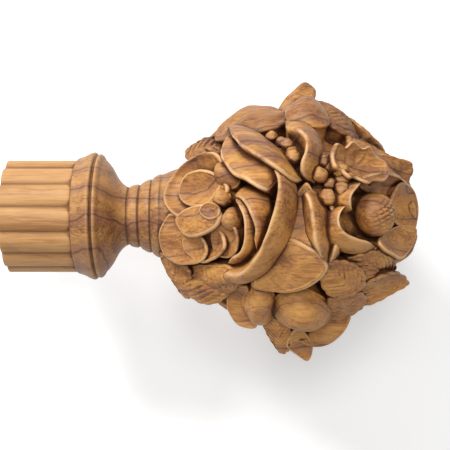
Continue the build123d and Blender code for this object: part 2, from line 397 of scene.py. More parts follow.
class Finish(Enum):
    """The finishes of this object."""

    POLE = Wood(
        "pole_wood", (0.64, 0.35, 0.135), (0.54, 0.275, 0.098), (0.40, 0.175, 0.055), (0.20, 0.08, 0.03),
        (0.72, 0.44, 0.20), vein_amount=0.25, tint=0.12, hollow=0.75, gloss=0.45,
    )
    NECK = Wood(
        "neck_wood", (0.56, 0.29, 0.100), (0.42, 0.20, 0.068), (0.20, 0.078, 0.030), (0.090, 0.026, 0.018),
        (0.70, 0.40, 0.17), vein_amount=0.65, tint=0.55, hollow=0.9, gloss=0.38, mottle=0.25, chisel=0.6,
    )
    CARVED = Wood(
        "carved_wood", (0.62, 0.30, 0.085), (0.45, 0.195, 0.052), (0.24, 0.092, 0.030), (0.075, 0.027, 0.016),
        (0.80, 0.49, 0.24), vein_amount=0.6, tint=0.42, hollow=0.97, gloss=0.40, mottle=0.45, chisel=2.0,
    )
    BRASS = Metal("insert_brass", (0.78, 0.58, 0.25))
    STEEL = Metal("bolt_steel", (0.62, 0.62, 0.64))
    WASHER = Fibre("washer_fibre", (0.22, 0.06, 0.04))


# ------------------------------------------------------------------ solids


@dataclass
class Block:
    """One closed mesh under construction, in millimetres, with its worn edges and its painted shade marked.
    """

    verts: list[Vector] = field(default_factory=list)
    faces: list[tuple[int, ...]] = field(default_factory=list)
    worn: list[float] = field(default_factory=list)
    # Painted shade at each corner, added to the shade from what hides it
    painted_shade: list[float] = field(default_factory=list)

    def add(self, point: Vector, worn: float = 0.0, painted_shade: float = 0.0) -> int:
        """Add a corner.

        Args:
            point: its place.
            worn: how worn it is, from 0 to 1.
            painted_shade: how much darker its painted shade is.

        Returns:
            Its number.
        """
        self.verts.append(point)
        self.worn.append(worn)
        self.painted_shade.append(painted_shade)
        return len(self.verts) - 1

    def ring(self, points: Iterable[tuple[Vector, float]]) -> list[int]:
        """Add a closed row of corners and return their numbers."""
        return [self.add(*point) for point in points]

    def bridge(self, first: Sequence[int], second: Sequence[int]) -> None:
        """Join two rings of the same count with faces.

        Args:
            first: the corners of one ring.
            second: the corners of the next ring.
        """
        count = len(first)
        for i in range(count):
            j = (i + 1) % count
            self.faces.append((first[i], first[j], second[j], second[i]))

    def fan(self, centre: int, ring: Sequence[int], flip: bool = False) -> None:
        """Close a ring with triangles to a centre.

        Args:
            centre: the corner in the middle.
            ring: the corners of the ring.
            flip: whether the triangles turn the other way round.
        """
        for near, far in zip(ring, [*ring[1:], ring[0]]):
            self.faces.append((centre, far, near) if flip else (centre, near, far))

    def cap(self, ring: Sequence[int], centre: Vector, flip: bool = False) -> None:
        """Close a ring with a fan to a new corner."""
        self.fan(self.add(centre), ring, flip)

    def moved(self, frame_matrix: Matrix) -> "Block":
        """The block in another frame; a mirroring frame turns its faces over.

        Args:
            frame_matrix: the frame.

        Returns:
            The moved block.
        """
        faces = list(self.faces)
        if frame_matrix.determinant() < 0:
            faces = [tuple(reversed(corners)) for corners in faces]
        return Block([frame_matrix @ point for point in self.verts], faces, list(self.worn), list(self.painted_shade))

    def extend(self, other: "Block") -> None:
        """Add another block to this one.

        Args:
            other: the block to add.
        """
        shift = len(self.verts)
        self.faces += [tuple(i + shift for i in corners) for corners in other.faces]
        self.verts += other.verts
        self.worn += other.worn
        self.painted_shade += other.painted_shade

    def normals(self) -> list[Vector]:
        """The outward direction at every corner.

        Returns:
            The directions.
        """
        found = [Vector() for _ in self.verts]
        for corners in self.faces:
            a, b, c = (self.verts[i] for i in corners[:3])
            across = (b - a).cross(c - a)
            for i in corners:
                found[i] += across
        return [normal.normalized() if normal.length_squared else Vector((0, 0, 1)) for normal in found]

    def outward(self) -> "Block":
        """This block with its faces turned outwards.

        Returns:
            This block.
        """
        middle = self.verts[0]
        volume = 0.0
        for corners in self.faces:
            spokes = [self.verts[i] - middle for i in corners]
            volume += sum(spokes[0].dot(b.cross(c)) for b, c in zip(spokes[1:], spokes[2:]))
        if volume < 0:
            self.faces = [tuple(reversed(corners)) for corners in self.faces]
        return self

    def shaded(self, amount: float) -> "Block":
        """The block with its painted shade made darker, or lighter where the amount is negative."""
        return Block(self.verts, self.faces, self.worn, [value + amount for value in self.painted_shade])

    def carved(self, depth: float, size: float) -> "Block":
        """The block with the gentle unevenness of hand carving.

        Args:
            depth: how far a point may move, in millimetres.
            size: the width of one unevenness, in millimetres.

        Returns:
            The uneven block.
        """
        moved = [point + noise.noise_vector(point / size) * depth for point in self.verts]
        return Block(moved, self.faces, self.worn, self.painted_shade)


def polar(front: Callable[[float, float], Vector], back: Callable[[float, float], Vector],
          worn: Callable[[float, float], float], rings: int = 14, sectors: int = 48) -> Block:
    """A closed solid between two faces that meet at a rim.

    Args:
        front: the front face's point at a radius from 0 to 1 and an angle.
        back: the back face's point.
        worn: how worn the front is there, from 0 to 1.
        rings: rows from the middle to the rim.
        sectors: points round the rim.

    Returns:
        The solid.
    """
    block = Block()
    angles = [2 * pi * j / sectors for j in range(sectors)]
    radii = [sin(pi / 2 * k / rings) for k in range(1, rings + 1)]
    top = block.add(front(0, 0), worn(0, 0))
    rows = [block.ring((front(radius, a), worn(radius, a)) for a in angles) for radius in radii]
    for radius in reversed(radii[:-1]):
        rows.append(block.ring((back(radius, a), worn(radius, a) / 2) for a in angles))
    bottom = block.add(back(0, 0))
    block.fan(top, rows[0])
    for outer, inner in zip(rows, rows[1:]):
        block.bridge(outer, inner)
        block.faces[-sectors:] = [tuple(reversed(corners)) for corners in block.faces[-sectors:]]
    block.fan(bottom, rows[-1], flip=True)
    return block.outward()


def spline(a: Vector, b: Vector, c: Vector, d: Vector, t: float) -> Vector:
    """The point at t between b and c on a smooth curve through four points."""
    return 0.5 * (2 * b + (c - a) * t + (2 * a - 5 * b + 4 * c - d) * t**2 + (3 * b - a - 3 * c + d) * t**3)


def through(points: Sequence[Vector], count: int) -> list[Vector]:
    """Points evenly along a smooth curve through the given points.

    Args:
        points: the places that the curve goes through.
        count: how many points to return.

    Returns:
        The points.
    """
    padded = [points[0] * 2 - points[1], *points, points[-1] * 2 - points[-2]]
    spans = len(points) - 1
    found = []
    for i in range(count):
        along = spans * i / (count - 1)
        span = min(int(along), spans - 1)
        found.append(spline(*padded[span:span + 4], along - span))
    return found


def round_through(points: Sequence[Vector], count: int) -> list[Vector]:
    """Points evenly round a smooth closed curve through the given points.

    Args:
        points: the places that the curve goes through.
        count: how many points to return.

    Returns:
        The points.
    """
    total = len(points)
    found = []
    for i in range(count):
        along = total * i / count
        span = int(along)
        corners = (points[(span + k) % total] for k in (-1, 0, 1, 2))
        found.append(spline(*corners, along - span))
    return found


def ease(value: float, low: float, high: float) -> float:
    """A smooth step from 0 at low to 1 at high."""
    t = max(0.0, min(1.0, (value - low) / (high - low)))
    return t * t * (3 - 2 * t)


def bump_at(value: float, width: float) -> float:
    """A smooth bump of height 1 round zero."""
    return exp(-((value / width) ** 2))


@dataclass(frozen=True)
class Head:
    """The carved head's middle, from which every carving is placed."""

    centre: Vector
    ground: float

    def at(self, bearing: float, rise: float, reach: float) -> Vector:
        """The place at a bearing, a rise and a reach from the middle.

        Args:
            bearing: degrees round from the front, towards the tip.
            rise: degrees above the middle.
            reach: millimetres from the middle.

        Returns:
            The place.
        """
        turn, lift = radians(bearing), radians(rise)
        level = reach * cos(lift)
        return self.centre + Vector((level * sin(turn), -level * cos(turn), reach * sin(lift)))

    def sunk(self, place: Vector, depth: float = 3.0) -> Vector:
        """The place below another, a depth under the ground."""
        return self.centre + (place - self.centre).normalized() * (self.ground - depth)

    def seat(self, place: Place, turn: float = 0.0, lean: float = 0.0, tilt: float = 0.0) -> Matrix:
        """A frame on the head: z points out and y to the lip.

        Args:
            place: its bearing, rise and reach.
            turn: degrees clockwise from a lip at the top.
            lean: degrees that lift the lip.
            tilt: degrees that lift the left side.

        Returns:
            The frame as a matrix.
        """
        bearing, rise, _ = place
        out = (self.at(bearing, rise, 1) - self.centre).normalized()
        east = Vector((cos(radians(bearing)), sin(radians(bearing)), 0))
        north = out.cross(east)
        axes = Matrix((east, north, out)).transposed().to_4x4()
        turned = Matrix.Rotation(radians(-turn), 4, "Z") @ Matrix.Rotation(radians(lean), 4, "X")
        turned @= Matrix.Rotation(radians(tilt), 4, "Y")
        return Matrix.Translation(self.at(*place)) @ axes @ turned


CARVE_SEED = 5
CARVE_DEPTH = 0.3
CARVE_SIZE = 6.0
BERRY_DEPTH = 0.55
BERRY_SIZE = 2.6
WALL_STEPS = (0.15, 0.4, 0.7, 1.0)
BEVEL_STEPS = ((0.22, 0.10, 0.9), (0.34, 0.32, 0.5), (0.30, 0.62, 0.1), (0.05, 0.92, 0.0))


@dataclass(frozen=True, kw_only=True)
class Carving:
    """A petal, leaf or dome: a face inside a rim, on a wall that goes down into the head."""

    dish: float = 2.5
    bowl: float = 2.0
    thick: float = 1.8
    lip: float = 0.35
    foot: float = 0.82
    grain: float = 0.0
    fold: float = 0.0
    veins: float = 0.0
    vein_rows: float = 9.0
    flutes: float = 0.0
    creases: int = 0
    crease: float = 0.6
    wear: float = 0.9
    # Takes painted shade off the piece; a negative value paints more shade on it
    pale: float = 0.0
    teeth: int = 0
    tooth: float = 0.055

    def rim_points(self, head: Head, count: int) -> list[Vector]:
        """The rim as points, counted from outside."""
        raise NotImplementedError

    def height(self, radius: float, angle: float, across: float, along: float) -> float:
        """The face's height over the rim's plane.

        Args:
            radius: 0 in the middle and 1 at the rim.
            angle: the direction from the middle.
            across: the place across the grain, from -1 to 1.
            along: the place along the grain, from -1 to 1.

        Returns:
            The height in millimetres.
        """
        rise = self.dish * (radius**self.bowl - 1) + self.lip * bump_at(radius - 0.95, 0.045)
        fade = 1 - radius**10
        rise -= self.fold * bump_at(across, 0.3) * fade
        if self.veins:
            rib = bump_at(across, 0.09)
            side = (0.5 + 0.5 * cos(pi * self.vein_rows * (along - 0.7 * abs(across)))) ** 3
            rise -= self.veins * (rib + side * (1 - rib)) * fade
        if self.flutes:
            rise += self.flutes * sin(across * 11 + 1.4 * along) * radius * fade
        if self.creases:
            phase = self.creases * (angle + 1.3 * radius) / 2
            rise -= self.crease * bump_at(sin(phase), 0.14) * fade * ease(radius, 0.08, 0.4)
        return rise

    def toothed(self, spoke: Vector, share: float) -> Vector:
        """A spoke of the rim, cut back between the teeth of a leaf's edge.

        Args:
            spoke: from the middle to the rim.
            share: how far round the rim it is, from 0 to 1.

        Returns:
            The spoke with its new length.
        """
        if not self.teeth:
            return spoke
        return spoke * (1 - self.tooth * abs(cos(pi * self.teeth * share)) ** 3)

    def block(self, head: Head) -> Block:
        """Build the carving in place on the head.

        Args:
            head: the head that it sits on.

        Returns:
            The carving as a closed solid.
        """
        fine = bool(self.veins or self.flutes)
        sectors, rings = (108, 30) if fine else (72, 20)
        rim = self.rim_points(head, sectors)
        middle = sum(rim, Vector()) / sectors
        turns = ((a - middle).cross(b - middle) for a, b in zip(rim, rim[1:] + rim[:1]))
        out = sum(turns, Vector()).normalized()
        outward = (middle - head.centre).normalized() + Vector((0, -0.6 if middle.y < 0 else 0.0, 0))
        if out.dot(outward) < 0:
            rim.reverse()
            out = -out
        along = (Vector((0, 0, 1)) - out * out.z).normalized()
        along = Matrix.Rotation(radians(-self.grain), 3, out) @ along
        across = along.cross(out)
        spokes = [self.toothed(point - middle, i / sectors) for i, point in enumerate(rim)]
        half = max(abs(spoke.dot(across)) for spoke in spokes)
        reach = max(abs(spoke.dot(along)) for spoke in spokes)

        def face(radius: float) -> list[tuple[Vector, float]]:
            """One ring of the face.

            Args:
                radius: 0 in the middle and 1 at the rim.

            Returns:
                The ring's points with their wear.
            """
            points = []
            for spoke in spokes:
                x, y = spoke.dot(across) * radius, spoke.dot(along) * radius
                rise = self.height(radius, atan2(x, y), x / half, y / reach)
                points.append((middle + spoke * radius + out * rise, self.wear * radius**36))
            return points

        block = Block()
        top = block.add(middle + out * self.height(0, 0, 0, 0))
        rows = [block.ring(face(sin(pi / 2 * k / rings))) for k in range(1, rings + 1)]
        for grow, drop, worn in BEVEL_STEPS:
            edge = [
                middle + spoke + (spoke.normalized() * grow - out * drop) * self.thick for spoke in spokes
            ]
            rows.append(block.ring((point, worn * self.wear) for point in edge))
        base = head.sunk(middle)
        feet = [head.sunk(base + spoke * self.foot) for spoke in spokes]
        under = [middle + spoke * 0.97 - out * self.thick for spoke in spokes]
        for share in WALL_STEPS:
            rows.append(block.ring((high.lerp(low, share), 0.0) for high, low in zip(under, feet)))
        block.fan(top, rows[0])
        for outer, inner in zip(rows, rows[1:]):
            block.bridge(inner, outer)
        block.cap(rows[-1], base, flip=True)
        return block.shaded(-self.pale)


@dataclass(frozen=True, kw_only=True)
class Outlined(Carving):
    """A carving whose rim goes through chosen places."""

    rim: Sequence[Place]

    def rim_points(self, head: Head, count: int) -> list[Vector]:
        """The rim through its places."""
        return round_through([head.at(*place) for place in self.rim], count)


@dataclass(frozen=True, kw_only=True)
class Leaf(Carving):
    """A carving with a round or pointed outline of a given size."""

    seat: Place
    length: float
    width: float
    turn: float = 0.0
    lean: float = 0.0
    tilt: float = 0.0
    point: float = 0.0
    stem: float = 0.0

    def rim_points(self, head: Head, count: int) -> list[Vector]:
        """The rim from its length and width.

        Args:
            head: the head that the leaf sits on.
            count: how many points to return.

        Returns:
            The rim.
        """
        frame_matrix = head.seat(self.seat, self.turn, self.lean, self.tilt)
        points = []
        for j in range(count):
            angle = 2 * pi * j / count
            sharp = self.point if cos(angle) > 0 else self.stem
            side = sin(angle) * abs(sin(angle)) ** sharp
            points.append(frame_matrix @ Vector((self.width / 2 * side, self.length / 2 * cos(angle), 0)))
        return points


@dataclass(frozen=True)
class Bud:
    """A closed bud or dome, with creases between its folded petals."""

    seat: Place
    length: float
    width: float
    height: float
    turn: float = 0.0
    point: float = 0.25
    creases: int = 3
    crease: float = 0.5
    twist: float = 1.2
    hatch: float = 0.0

    def block(self, head: Head) -> Block:
        """Build the bud in place on the head.

        Args:
            head: the head that it sits on.

        Returns:
            The bud as a closed solid.
        """

        def front(radius: float, angle: float) -> Vector:
            """The domed face.

            Args:
                radius: 0 in the middle and 1 at the rim.
                angle: the direction from the middle.

            Returns:
                The face's point.
            """
            sharp = 1 - self.point * max(0.0, cos(angle)) * radius**2 * abs(sin(angle))
            x = self.width / 2 * sin(angle) * radius * sharp
            y = self.length / 2 * cos(angle) * radius
            dome = self.height * sqrt(max(0.0, 1 - radius**2))
            phase = self.creases * (angle + self.twist * radius) / 2
            dome -= self.crease * bump_at(sin(phase), 0.16) * (1 - radius**6) * ease(radius, 0.1, 0.5)
            if self.hatch:
                dome += self.hatched(x, y) * (1 - radius**4)
            return Vector((x, y, dome))

        def back(radius: float, angle: float) -> Vector:
            """The hidden side, in the head."""
            x, y = self.width / 2 * sin(angle) * radius, self.length / 2 * cos(angle) * radius
            return Vector((x, y, -0.8 * self.height * sqrt(max(0.0, 1 - radius**2))))

        def worn(radius: float, angle: float) -> float:
            """The crown is a little worn."""
            return 0.35 * (1 - radius) ** 0.5

        rings, sectors = (40, 144) if self.hatch else (20, 56)
        return polar(front, back, worn, rings, sectors).moved(head.seat(self.seat, self.turn))

    def hatched(self, x: float, y: float) -> float:
        """Small chisel-cut seeds in slanting rows, on the lower half."""
        rows = abs(sin(pi * (y - 0.55 * x) / 2.1)) ** 0.6 * abs(sin(pi * (x + 0.45 * y) / 2.7)) ** 0.45
        return self.hatch * (rows - 1) * ease(x + 6.2 - 0.8 * y, -2.5, 0.5)


@dataclass(frozen=True, kw_only=True)
class Wrap:
    """A petal that wraps round a flower: a lip that stands proud of a foot."""

    lip: Sequence[Place]
    foot: Sequence[Place]
    inside: float = 4.0
    bulge: float = 1.0
    roll: float = 0.25
    lip_thick: float = 1.2
    start: float = 0.12
    end: float = 0.12
    # Takes painted shade off the petal; a negative value paints more shade on it
    pale: float = 0.0
    sections: int = 64
    outer_steps: int = 14
    inner_steps: int = 9

    def block(self, head: Head) -> Block:
        """Build the petal as a loft of closed sections.

        Args:
            head: the head that it sits on.

        Returns:
            The petal as a closed solid.
        """
        lips = through([head.at(*place) for place in self.lip], self.sections)
        feet = through([head.at(*place) for place in self.foot], self.sections)
        block = Block()
        rows = []
        for i, (lip, foot) in enumerate(zip(lips, feet)):
            share = i / (self.sections - 1)
            near = max(0.0, 1 - share / self.start)
            far = max(0.0, 1 - (1 - share) / self.end)
            body = max(sqrt(1 - max(near, far) ** 2), 0.05)
            rows.append(block.ring(self.section(head, lip, foot, body)))
        for near_row, far_row in zip(rows, rows[1:]):
            block.bridge(near_row, far_row)
        for row, flip in ((rows[0], True), (rows[-1], False)):
            block.cap(row, sum((block.verts[i] for i in row), Vector()) / len(row), flip)
        return block.outward().shaded(-self.pale)

    def section(self, head: Head, lip: Vector, foot: Vector, body: float) -> list[tuple[Vector, float]]:
        """One closed section: outer face, root, inner face and rounded lip.

        Args:
            head: the head that it sits on.
            lip: the lip's place.
            foot: the foot's place.
            body: 1 in the middle of the petal, less towards its ends.

        Returns:
            The section's points with their wear.
        """
        lip = foot.lerp(lip, body)
        face = foot - lip
        up = (lip - head.centre).normalized()
        inward = -(face - up * face.dot(up)).normalized()
        under = head.sunk(lip + inward * self.inside * body, 2.0)
        root = head.sunk(foot, 2.0)
        out = (up - face * (up.dot(face) / max(face.length_squared, 1e-6))).normalized()
        thick = self.lip_thick * (0.3 + 0.7 * body)
        points = []
        for k in range(self.outer_steps + 1):
            s = k / self.outer_steps
            swell = self.bulge * sin(pi * s**0.8) + self.roll * max(0.0, sin(pi * min(1.0, s * 3.2)))
            points.append((lip + face * s + out * swell * body, 0.9 * bump_at(s, 0.05)))
        points += [(foot.lerp(root, 0.5), 0.0), (root, 0.0), (under, 0.0)]
        start = lip + inward * thick * 0.9 - up * thick * 0.5
        for k in range(1, self.inner_steps + 1):
            s = 1 - k / (self.inner_steps + 0.4)
            sag = sin(pi * s) * 1.4 * body
            points.append((start.lerp(under, s) - (inward + up) * sag * 0.7, 0.5 * bump_at(s, 0.05)))
        points.append((lip + inward * thick * 0.5 + up * thick * 0.05, 1.0))
        return points


@dataclass(frozen=True)
class Berries:
    """A bunch of round berries, each with a small dimple."""

    places: Sequence[Place]
    radius: float = 2.6

    def block(self, head: Head) -> Block:
        """Build the bunch; each berry is a closed solid.

        Args:
            head: the head that it sits on.

        Returns:
            The berries as one block.
        """
        whole = Block()
        for i, place in enumerate(self.places):
            size = self.radius * (0.88 + 0.24 * (i % 3) / 2)
            berry = Bud(place, 2 * size, 2 * size, size, turn=50 * i, creases=1, crease=0.25, point=0.0)
            whole.extend(berry.block(head).carved(BERRY_DEPTH, BERRY_SIZE))
        return whole


# ------------------------------------------------------------------ sub-assemblies


@dataclass
class Job:
    """One piece that waits to be made."""

    name: str
    block: Block
    finish: Finish
    body: str
    nodes: Sequence[str]


SIGHT_RAYS = (
    (0.05, 0.0), (0.3, 1.0), (0.3, 3.1), (0.3, 5.2),
    (0.7, 0.4), (0.7, 1.7), (0.7, 2.9), (0.7, 4.2), (0.7, 5.4),
)


@dataclass
class Workshop:
    """Collects the blocks, paints shade into their hollows and makes the pieces."""

    head: Head
    materials: dict[Finish, bpy.types.Material] = field(default_factory=dict)
    jobs: list[Job] = field(default_factory=list)
    sight: float = 8.0
    clearance: float = 0.25
    strength: float = 1.8

    def finish(self, choice: Finish) -> bpy.types.Material:
        """The material for a finish, made once.

        Args:
            choice: the finish.

        Returns:
            Its material.
        """
        if choice not in self.materials:
            self.materials[choice] = choice.value.build()
        return self.materials[choice]

    def take(self, name: str, block: Block, finish: Finish, body: str, nodes: Sequence[str]) -> None:
        """Add a piece to the jobs.

        Args:
            name: the piece's name.
            block: its closed mesh, in millimetres.
            finish: its finish.
            body: the body that it moves with.
            nodes: the CAD nodes that it stands for.
        """
        self.jobs.append(Job(name, block, finish, body, nodes))

    def make_all(self) -> None:
        """Paint shade into the hollows of every block and make its piece."""
        whole = Block()
        for job in self.jobs:
            whole.extend(job.block)
        tree = BVHTree.FromPolygons(whole.verts, whole.faces)
        for job in self.jobs:
            self.make(job, self.painted_shades(tree, job.block))

    def painted_shades(self, tree: BVHTree, block: Block) -> list[float]:
        """How hidden each corner is by what stands round it, as painted shade.

        Args:
            tree: every block.
            block: the block whose corners are looked at.

        Returns:
            Painted shade from 0 in the open to 1 in a deep recess, one for each corner.
        """
        rays = [(sqrt(u) * cos(a), sqrt(u) * sin(a), sqrt(1 - u)) for u, a in SIGHT_RAYS]
        found = []
        for point, normal, painted_shade in zip(block.verts, block.normals(), block.painted_shade):
            side = normal.orthogonal().normalized()
            other = normal.cross(side)
            start = point + normal * self.clearance
            hidden = 0.0
            for x, y, z in rays:
                distance = tree.ray_cast(start, side * x + other * y + normal * z, self.sight)[3]
                if distance is not None:
                    hidden += 1 - (distance / self.sight) ** 0.7
            # Painted shade: what hides the corner plus the shade given to the block
            found.append(min(1.0, max(0.0, hidden / len(rays) * self.strength + painted_shade)))
        return found

    def make(self, job: Job, painted_shades: list[float]) -> None:
        """Make one piece.

        Args:
            job: what to make.
            painted_shades: the painted shade of each corner, from how hidden it is.
        """
        mesh = bpy.data.meshes.new(job.name)
        mesh.from_pydata([point * MM for point in job.block.verts], [], job.block.faces)
        # The hollow attribute carries the painted shade into the material
        for name, values in (("worn", job.block.worn), ("hollow", painted_shades)):
            mesh.attributes.new(name, "FLOAT", "POINT").data.foreach_set("value", values)
        mesh.shade_smooth()
        mesh.materials.append(self.finish(job.finish))
        piece = bpy.data.objects.new(job.name, mesh)
        bpy.context.scene.collection.objects.link(piece)
        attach(piece, job.body)
        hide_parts(*job.nodes)
        self.slot_of(job.nodes[0])
        LOG.info("%s: %d faces, %s", job.name, len(mesh.polygons), job.finish.name)

    @staticmethod
    def slot_of(node: str) -> str:
        """The record's material slot of a node.

        Args:
            node: the CAD node.

        Returns:
            The slot.
        """
        for part in frame["record"]["subparts"]:
            if part["node"] == node:
                return part["material_slot"]
        raise KeyError(node)


@dataclass
class CarvedGroup:
    """A named set of carvings; each stands for the CAD node of its name."""

    shop: Workshop
    carvings: ClassVar[dict[str, Carving | Bud | Wrap | Berries]] = {}

    def build(self) -> dict[str, Block]:
        """Make every carving.

        Returns:
            The carvings' blocks by CAD node, for the repeats behind.
        """
        blocks = {}
        for node, carving in self.carvings.items():
            block = carving.block(self.shop.head).carved(CARVE_DEPTH, CARVE_SIZE)
            self.shop.take(f"{node}_carving", block, Finish.CARVED, FINIAL, [node])
            blocks[node] = block
        return blocks


class RoseWraps(CarvedGroup):
    """The rose's large curled petals."""

    carvings = {
        "rose_outer_wrap": Wrap(
            lip=[(-12, 21, 53), (-9, 14, 57), (-9, 7, 58), (-11, -1, 58), (-14, -9, 58), (-20, -19, 56),
                 (-31, -27, 53), (-44, -28, 50)],
            foot=[(-4, 21, 48), (-1, 10, 48), (-2, 0, 48), (-5, -11, 48), (-10, -20, 48), (-18, -29, 48),
                  (-34, -36, 48), (-51, -34, 47)],
            bulge=1.5, inside=8.0, start=0.05, end=0.05,
        ),
        "rose_top_wrap": Wrap(
            lip=[(-49, 44, 52), (-35, 35, 55), (-26, 28, 57.5), (-17, 23, 58), (-9, 18, 57), (-1, 14, 51)],
            foot=[(-60, 50, 50), (-44, 49, 50), (-29, 44, 50), (-17, 38, 49), (-8, 30, 48), (1, 17, 47)],
            bulge=1.5, inside=3.0, start=0.14, end=0.08,
        ),
        "rose_upper_wrap": Wrap(
            lip=[(-48, 34, 51), (-38, 25, 54), (-30, 18, 56), (-22, 14, 57), (-17, 11, 57), (-13, 10, 55)],
            foot=[(-50, 42, 50), (-33, 33, 51), (-23, 28, 52), (-17, 25, 52), (-12, 22, 52), (-10, 17, 50)],
            bulge=0.7, inside=2.0, start=0.08, end=0.05,
        ),
        "rose_middle_wrap": Wrap(
            lip=[(-34, 10, 48), (-26, 7, 51), (-21, 0, 53), (-19, -7, 53), (-22, -15, 51)],
            foot=[(-28, 15, 46), (-18, 13, 47), (-14, 3, 47), (-15, -9, 46), (-22, -20, 44)],
            bulge=1.0, inside=3.0, start=0.1, end=0.15, pale=0.1,
        ),
        "rose_inner_wrap": Wrap(
            lip=[(-34, 9, 47), (-28, 4, 50), (-25, -2, 51.5), (-25, -10, 51.5), (-30, -18, 50),
                 (-41, -23, 48)],
            foot=[(-31, 12, 45), (-22, 5, 46), (-19, -5, 46), (-21, -15, 46), (-31, -26, 44),
                  (-47, -29, 45)],
            bulge=1.0, inside=3.0, pale=0.1,
        ),
    }


class RoseBowl(CarvedGroup):
    """The rose's heart and its round open petals."""

    carvings = {
        "rose_heart_bud": Bud((-34, -2, 47), 10, 8.5, 5.5, turn=10, point=0.4, creases=1),
        "rose_heart_boss": Bud((-40, 8, 47.5), 8, 8, 4.5, creases=2, crease=0.5),
        "rose_heart_petal": Outlined(
            rim=[(-47, 2, 54), (-45, 5, 53), (-42, 5, 52), (-39, 3, 51.5), (-39, 0, 52), (-43, -1, 53.5)],
            dish=1.0,
            thick=2.4,
        ),
        "rose_petal_top": Outlined(
            rim=[(-49, 22, 47), (-48, 28, 47), (-40, 28, 47), (-33, 22, 47), (-33, 15, 47), (-40, 13, 47),
                 (-46, 16, 47)],
            dish=-6.0, bowl=2.4, lip=0.0, foot=0.95, wear=0.0,
        ),
        "rose_petal_upper": Outlined(
            rim=[(-64, 8, 54), (-64, 13, 55), (-60, 18, 55), (-51, 20, 52.5), (-43, 18, 50), (-37, 12, 49),
                 (-44, 5, 50), (-56, 5, 53)],
            dish=2.6, thick=2.6,
        ),
        "rose_petal_lower": Outlined(
            rim=[(-60, -1, 57), (-58, -5, 57), (-53, -8, 56), (-46, -7, 54), (-40, -4, 52), (-39, 1, 51),
                 (-46, 4, 52), (-55, 3, 54)],
            dish=-0.8, lip=0.2, thick=3.2, pale=0.1,
        ),
        "rose_petal_low": Outlined(
            rim=[(-61, -10, 54), (-61, -16, 54.5), (-54, -21, 52.5), (-46, -20, 51), (-39, -15, 49),
                 (-43, -7, 48), (-55, -9, 51)],
            dish=2.2, thick=2.4,
        ),
        "rose_petal_bottom": Outlined(
            rim=[(-46, -9, 49), (-39, -5, 49), (-32, -5, 50), (-31, -11, 49), (-34, -18, 48),
                 (-40, -21, 48), (-46, -18, 49)],
            dish=1.8,
        ),
        "rose_outer_petal_upper": Outlined(
            rim=[(-46, 28, 52.5), (-57, 28, 54), (-67, 23, 55.5), (-72, 17, 57), (-71, 10, 59),
                 (-67, 4, 58.5), (-59, 0, 56), (-51, 3, 51.5), (-44, 11, 48.5), (-41, 21, 49)],
            dish=4.5, bowl=2.6, lip=0.6, thick=2.4, pale=-0.12,
        ),
        "rose_outer_petal_lower": Outlined(
            rim=[(-69, 0, 57), (-71, -7, 61), (-71, -14, 61), (-68, -19, 59), (-61, -21, 56),
                 (-51, -20, 53), (-49, -14, 51), (-54, -6, 53), (-61, -1, 55)],
            dish=2.5, bowl=2.2, lip=0.5,
        ),
    }


class RoseSkirt(CarvedGroup):
    """The open petals behind the rose."""

    carvings = {
        "skirt_ridge": Wrap(
            lip=[(2, 12, 49), (4, 5, 53), (5, -3, 55), (6, -11, 55), (10, -20, 53)],
            foot=[(8, 13, 46), (13, 5, 46), (16, -3, 47), (16, -12, 48), (15, -23, 48)],
            bulge=0.7, inside=8.0, end=0.06,
        ),
        "skirt_back_ridge": Wrap(
            lip=[(14, 8, 47), (16, -1, 50), (17, -9, 51), (16, -17, 51), (14, -24, 50)],
            foot=[(18, 8, 44), (23, -1, 44), (25, -11, 44), (23, -20, 45), (18, -27, 46)],
            bulge=0.8, inside=1.0,
        ),
        "skirt_shell": Outlined(
            rim=[(-5, -12, 48), (3, -15, 50), (9, -19, 52), (12, -24, 52.5), (8, -30, 52), (0, -35, 51.5),
                 (-12, -38, 50), (-27, -36, 49), (-22, -26, 46), (-13, -18, 46)],
            dish=-2.2, bowl=2.0, lip=0.5, flutes=0.12, thick=2.2,
        ),
        "skirt_hollow_petal": Outlined(
            rim=[(3, 15, 47), (7, 6, 49.5), (8, -5, 50.5), (9, -17, 51), (0, -16, 49), (-7, -8, 47),
                 (-3, 6, 46)],
            dish=1.5, pale=0.35,
        ),
    }


class BerryBunches(CarvedGroup):
    """The berries that show between the petals."""

    carvings = {
        "upper_berries": Berries(
            [(-17, 41, 48), (-7, 36, 48), (-3, 29, 47), (-10, 38, 47), (-4, 33, 46)],
            radius=2.9,
        ),
        "side_berries": Berries(
            [(13, 26, 48), (21, 21, 49), (10, 19, 48), (16, 24, 47), (20, 12, 49), (13, 8, 48),
             (15, 15, 47), (21, 16, 48)],
            radius=3.0,
        ),
    }


